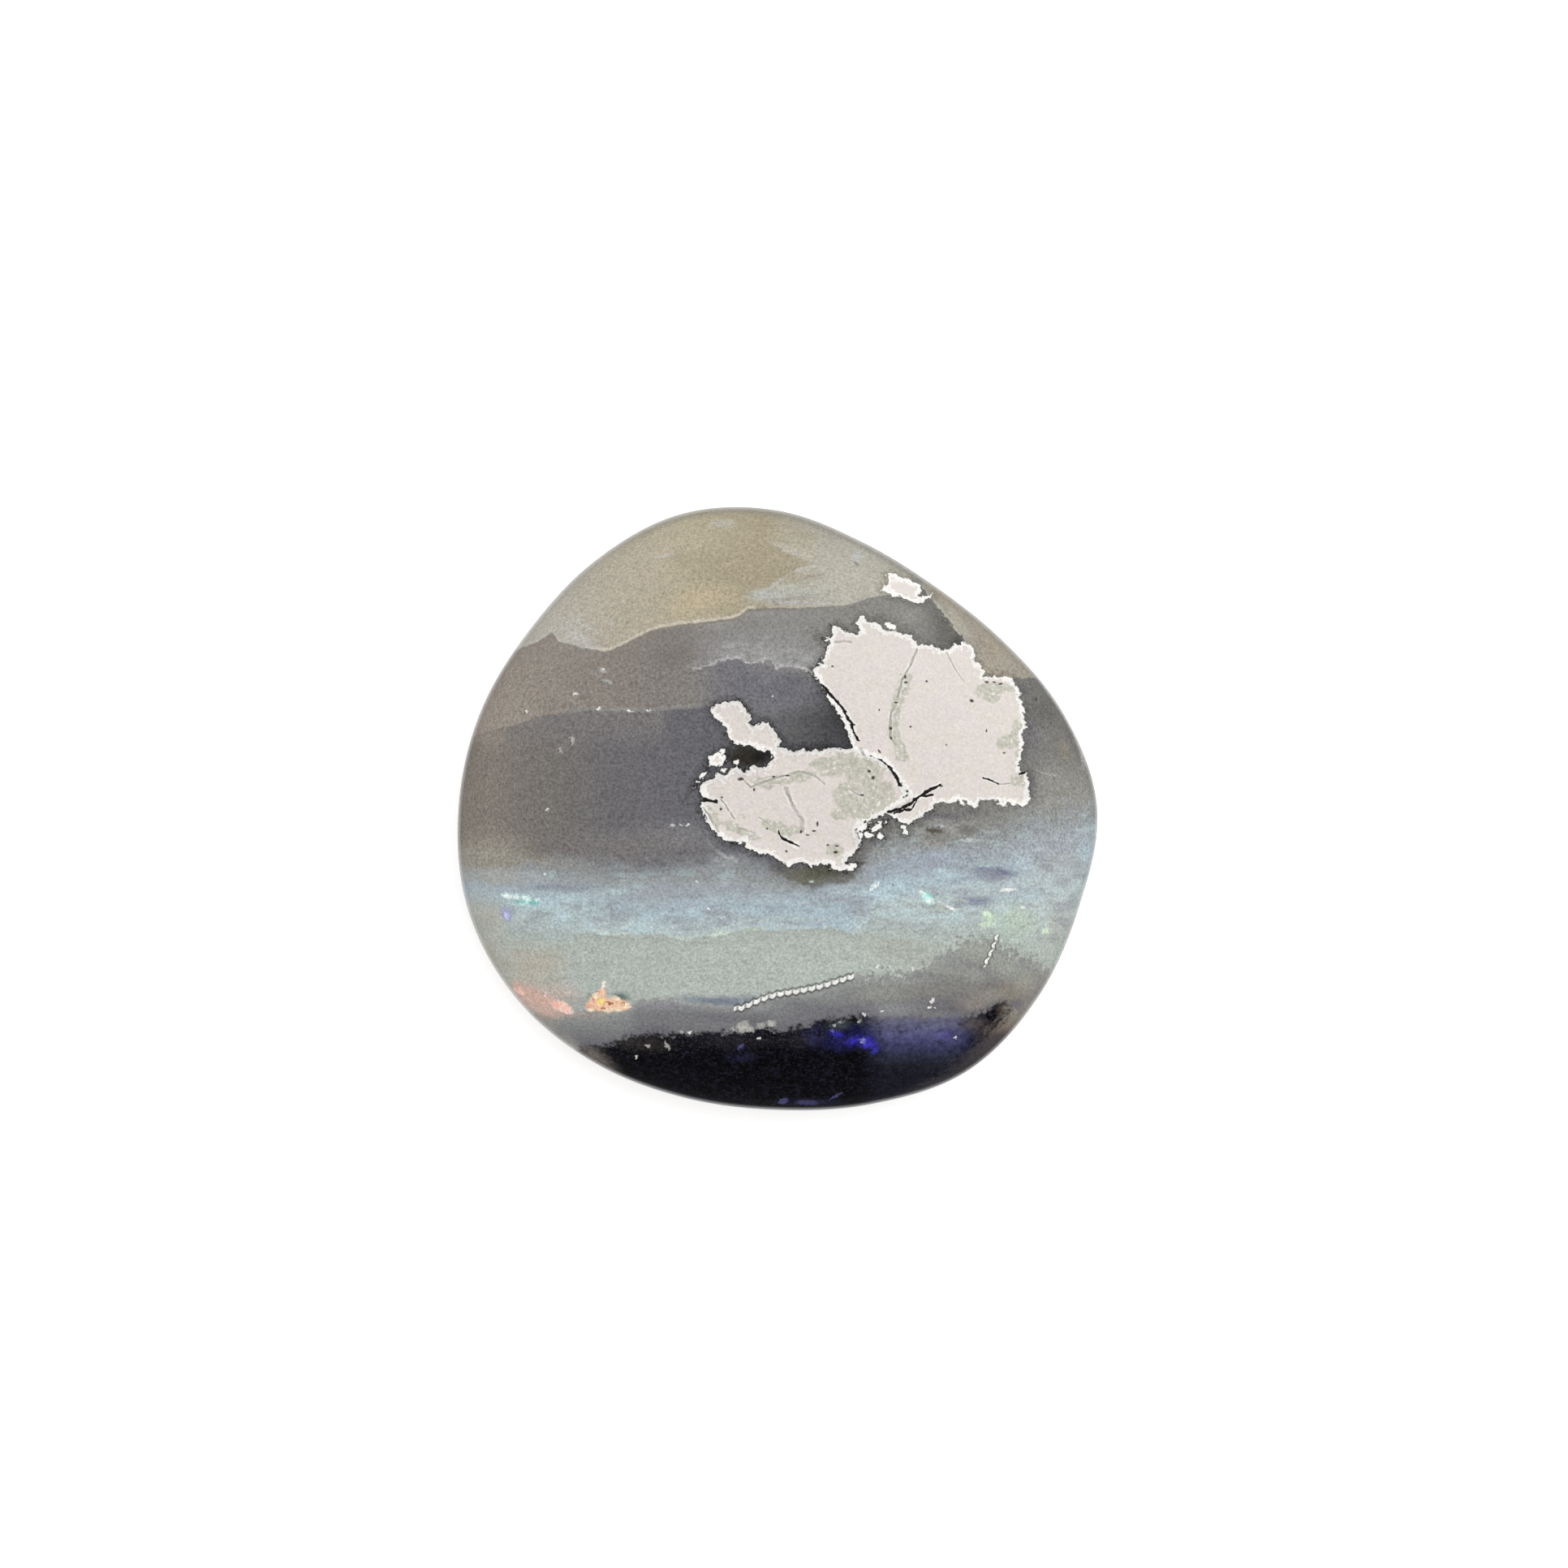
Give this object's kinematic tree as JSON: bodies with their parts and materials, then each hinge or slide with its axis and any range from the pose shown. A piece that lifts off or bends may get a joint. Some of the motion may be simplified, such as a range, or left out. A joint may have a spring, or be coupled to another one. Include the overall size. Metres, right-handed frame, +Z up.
{
  "type": "boulder opal",
  "caption": "Free-form polished opal cabochon with a low dome, shallow hollows of chalky host rock and a flat ground back.",
  "frame": {"origin": "on the surface the stone lies on, under the middle of its outline", "axes": "+Z up out of the dome, +X along the stone's length, and +Y across its bands towards the olive end"},
  "size_m": [0.014, 0.0132, 0.0048],
  "materials": {
    "opal": "polished, banded grey, blue and black, with matt white host rock"
  },
  "bodies": {
    "root": {"boulder_opal": "opal"}
  },
  "joints": []
}
